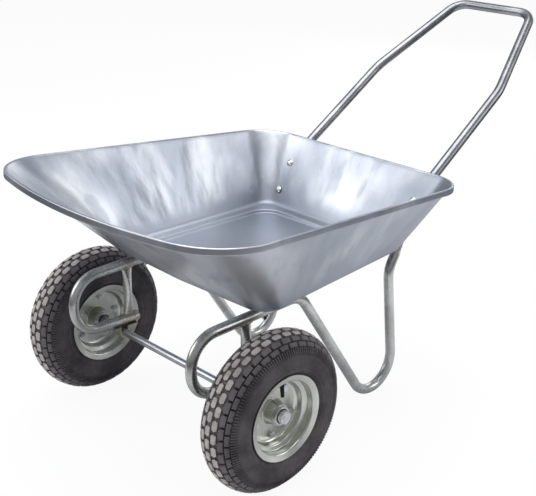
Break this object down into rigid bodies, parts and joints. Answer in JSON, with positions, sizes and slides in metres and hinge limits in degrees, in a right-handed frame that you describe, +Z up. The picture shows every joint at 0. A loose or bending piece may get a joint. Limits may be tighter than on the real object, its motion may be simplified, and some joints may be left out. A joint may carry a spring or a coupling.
{
  "type": "wheelbarrow",
  "caption": "Two-wheeled wheelbarrow with a deep galvanised tray, a bent tube frame with V legs, a looped push handle and treaded tyres on pressed rims.",
  "frame": {"origin": "on the ground, under the middle of the whole barrow's bounding box", "axes": "+Z up, +Y towards the push handle, +X to the left of the person who pushes the barrow"},
  "size_m": [0.6944, 1.3168, 0.767],
  "materials": {
    "tray_sheet": "galvanised sheet, satin",
    "frame_tube": "zinc plated tube, satin",
    "handle_tube": "zinc plated tube, satin",
    "bracket_steel": "zinc plated strip, heat tinted",
    "fastener_zinc": "bright zinc",
    "axle_steel": "bright drawn bar",
    "rim_zinc": "yellowish zinc plate",
    "bearing_steel": "ground bearing steel",
    "tyre_rubber": "moulded rubber, matt",
    "tube_rubber": "butyl rubber",
    "valve_rubber": "moulded rubber",
    "cap_plastic": "black plastic"
  },
  "bodies": {
    "frame": {"tray": "tray_sheet", "push_handle": "handle_tube", "axle": "axle_steel", "floor_bolts": "fastener_zinc", "floor_washers": "fastener_zinc", "floor_nuts": "fastener_zinc", "upper_wall_bolts": "fastener_zinc", "upper_wall_washers": "fastener_zinc", "upper_wall_nuts": "fastener_zinc", "lower_wall_bolts": "fastener_zinc", "lower_wall_washers": "fastener_zinc", "lower_wall_nuts": "fastener_zinc", "axle_washers": "fastener_zinc", "axle_nuts": "fastener_zinc", "side_tube_left": "frame_tube", "brace_left": "frame_tube", "axle_bracket_left": "bracket_steel", "axle_sleeve_left": "axle_steel", "bearing_spacer_left": "axle_steel", "inner_races_left": "bearing_steel", "side_tube_right": "frame_tube", "brace_right": "frame_tube", "axle_bracket_right": "bracket_steel", "axle_sleeve_right": "axle_steel", "bearing_spacer_right": "axle_steel", "inner_races_right": "bearing_steel"},
    "wheel_left": {"tyre_left": "tyre_rubber", "inner_tube_left": "tube_rubber", "valve_stem_left": "valve_rubber", "valve_cap_left": "cap_plastic", "rim_outer_left": "rim_zinc", "rim_inner_left": "rim_zinc", "hub_left": "axle_steel", "outer_races_left": "bearing_steel", "bearing_balls_left": "bearing_steel", "rim_bolts_left": "fastener_zinc", "rim_nuts_left": "fastener_zinc"},
    "wheel_right": {"tyre_right": "tyre_rubber", "inner_tube_right": "tube_rubber", "valve_stem_right": "valve_rubber", "valve_cap_right": "cap_plastic", "rim_outer_right": "rim_zinc", "rim_inner_right": "rim_zinc", "hub_right": "axle_steel", "outer_races_right": "bearing_steel", "bearing_balls_right": "bearing_steel", "rim_bolts_right": "fastener_zinc", "rim_nuts_right": "fastener_zinc"}
  },
  "joints": [
    {"name": "wheel_left_spin", "type": "hinge", "parent": "frame", "child": "wheel_left", "pos_m": [0.282, -0.4165, 0.165], "axis": [1, 0, 0], "continuous": true},
    {"name": "wheel_right_spin", "type": "hinge", "parent": "frame", "child": "wheel_right", "pos_m": [-0.282, -0.4165, 0.165], "axis": [1, 0, 0], "continuous": true}
  ]
}
